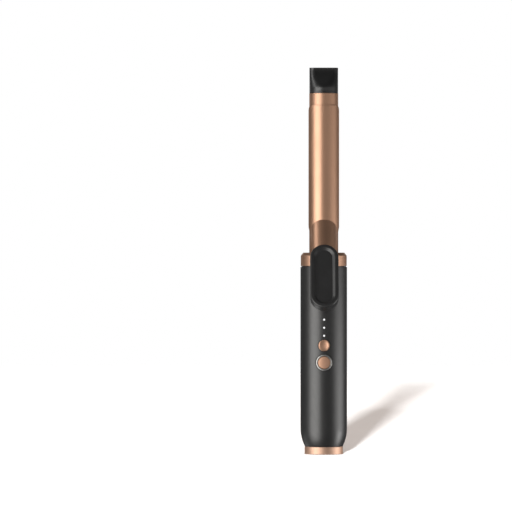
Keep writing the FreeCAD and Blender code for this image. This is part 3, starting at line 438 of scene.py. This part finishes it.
def floor_material():
    """Matt and pale, fading out towards the disc's edge."""
    made = Finish("floor", 0.9)
    made.set(Specular_IOR_Level=0.0)
    made.colour(made.noise(6.0, 4.0), tint(FLOOR_COLOUR, 0.985), tint(FLOOR_COLOUR, 1.015))
    length = made.node("ShaderNodeVectorMath", operation="LENGTH")
    made.link(made.place, length.inputs[0])
    fade = made.node("ShaderNodeMapRange", interpolation_type="SMOOTHSTEP")
    made.link(length.outputs["Value"], fade.inputs["Value"])
    fade.inputs["From Min"].default_value = FLOOR_FADE_START
    fade.inputs["From Max"].default_value = FLOOR_FADE_END
    clear = made.node("ShaderNodeBsdfTransparent")
    mix = made.node("ShaderNodeMixShader")
    made.link(fade.outputs["Result"], mix.inputs["Fac"])
    made.link(made.shader.outputs[0], mix.inputs[1])
    made.link(clear.outputs[0], mix.inputs[2])
    made.link(mix.outputs[0], made.tree.nodes["Material Output"].inputs["Surface"])
    return made.material


floor = floor_disc()
floor.data.materials.append(floor_material())
# The floor isn't seen in the iron, throws no light on it and doesn't block the panels below it.
floor.visible_glossy = False
floor.visible_diffuse = False
floor.visible_shadow = False


def add_light(name, data, location, aim):
    lamp = bpy.data.objects.new(name, data)
    bpy.context.scene.collection.objects.link(lamp)
    lamp.location = location
    lamp.rotation_mode = "QUATERNION"
    lamp.rotation_quaternion = (Vector(aim) - Vector(location)).to_track_quat("-Z", "Y")
    lamp.visible_camera = False
    return lamp


def round_the_iron(azimuth, distance, height):
    turn = math.radians(azimuth)
    return Vector((distance * math.sin(turn), -distance * math.cos(turn), height))


def add_panel(name, azimuth, distance, bottom, top, width, radiance, colour):
    data = bpy.data.lights.new(name, "AREA")
    data.shape = "RECTANGLE"
    data.size = width
    data.size_y = top - bottom
    data.energy = radiance * math.pi * width * (top - bottom)
    data.color = colour
    height = (top + bottom) / 2.0
    return add_light(name, data, round_the_iron(azimuth, distance, height), (0.0, 0.0, height))


for name, panel in PANELS.items():
    add_panel(name, *panel)

top_data = bpy.data.lights.new("top_panel", "AREA")
top_data.size = TOP_PANEL_SIZE
top_data.energy = TOP_PANEL_RADIANCE * math.pi * TOP_PANEL_SIZE**2
add_light("top_panel", top_data, TOP_PANEL_PLACE, ORIGIN)


def restrict(lamp, share):
    """Lights the floor alone, if the share is INCLUDE, or everything but the floor, if EXCLUDE."""
    group = bpy.data.collections.new(lamp.name + "_floor")
    group.objects.link(floor)
    group.collection_objects[0].light_linking.link_state = share
    lamp.light_linking.receiver_collection = group


def add_sun(name, strength, angle, colour, azimuth, elevation):
    data = bpy.data.lights.new(name, "SUN")
    data.energy = strength
    data.angle = math.radians(angle)
    data.color = colour
    rise = math.radians(elevation)
    place = round_the_iron(azimuth, math.cos(rise), math.sin(rise))
    return add_light(name, data, place, ORIGIN)


for lamp in [one for one in bpy.context.scene.objects if one.type == "LIGHT"]:
    restrict(lamp, "EXCLUDE")
low_sun = add_sun("low_sun", SUN_STRENGTH, SUN_ANGLE, WHITE, SUN_AZIMUTH, SUN_ELEVATION)
sky = add_sun("sky", SKY_STRENGTH, SKY_ANGLE, SKY_COLOUR, 0.0, SKY_ELEVATION)
restrict(low_sun, "INCLUDE")
restrict(sky, "INCLUDE")


def studio_world():
    """A dim room for the reflections, and plain white behind the iron."""
    world = bpy.data.worlds.new("studio")
    world.use_nodes = True
    tree = world.node_tree
    tree.nodes.clear()
    room = tree.nodes.new("ShaderNodeBackground")
    room.inputs["Color"].default_value = (*ROOM_COLOUR, 1.0)
    behind = tree.nodes.new("ShaderNodeBackground")
    behind.inputs["Color"].default_value = (*WHITE, 1.0)
    rays = tree.nodes.new("ShaderNodeLightPath")
    mix = tree.nodes.new("ShaderNodeMixShader")
    output = tree.nodes.new("ShaderNodeOutputWorld")
    tree.links.new(rays.outputs["Is Camera Ray"], mix.inputs["Fac"])
    tree.links.new(room.outputs[0], mix.inputs[1])
    tree.links.new(behind.outputs[0], mix.inputs[2])
    tree.links.new(mix.outputs[0], output.inputs["Surface"])
    return world


bpy.context.scene.world = studio_world()
bpy.context.scene.view_settings.view_transform = "Standard"
bpy.context.scene.view_settings.look = "None"

camera_data = bpy.data.cameras.new("camera")
camera_data.lens = LENS_MM
camera_data.sensor_width = SENSOR_MM
camera = bpy.data.objects.new("camera", camera_data)
bpy.context.scene.collection.objects.link(camera)
camera.location = (
    -ASIDE_TO_HEIGHT * HEIGHT,
    -PICTURE_TO_HEIGHT * HEIGHT * LENS_MM / SENSOR_MM,
    cad_low.z + CENTRE_TO_HEIGHT * HEIGHT,
)
camera.rotation_euler = (math.pi / 2.0, 0.0, 0.0)
bpy.context.scene.camera = camera
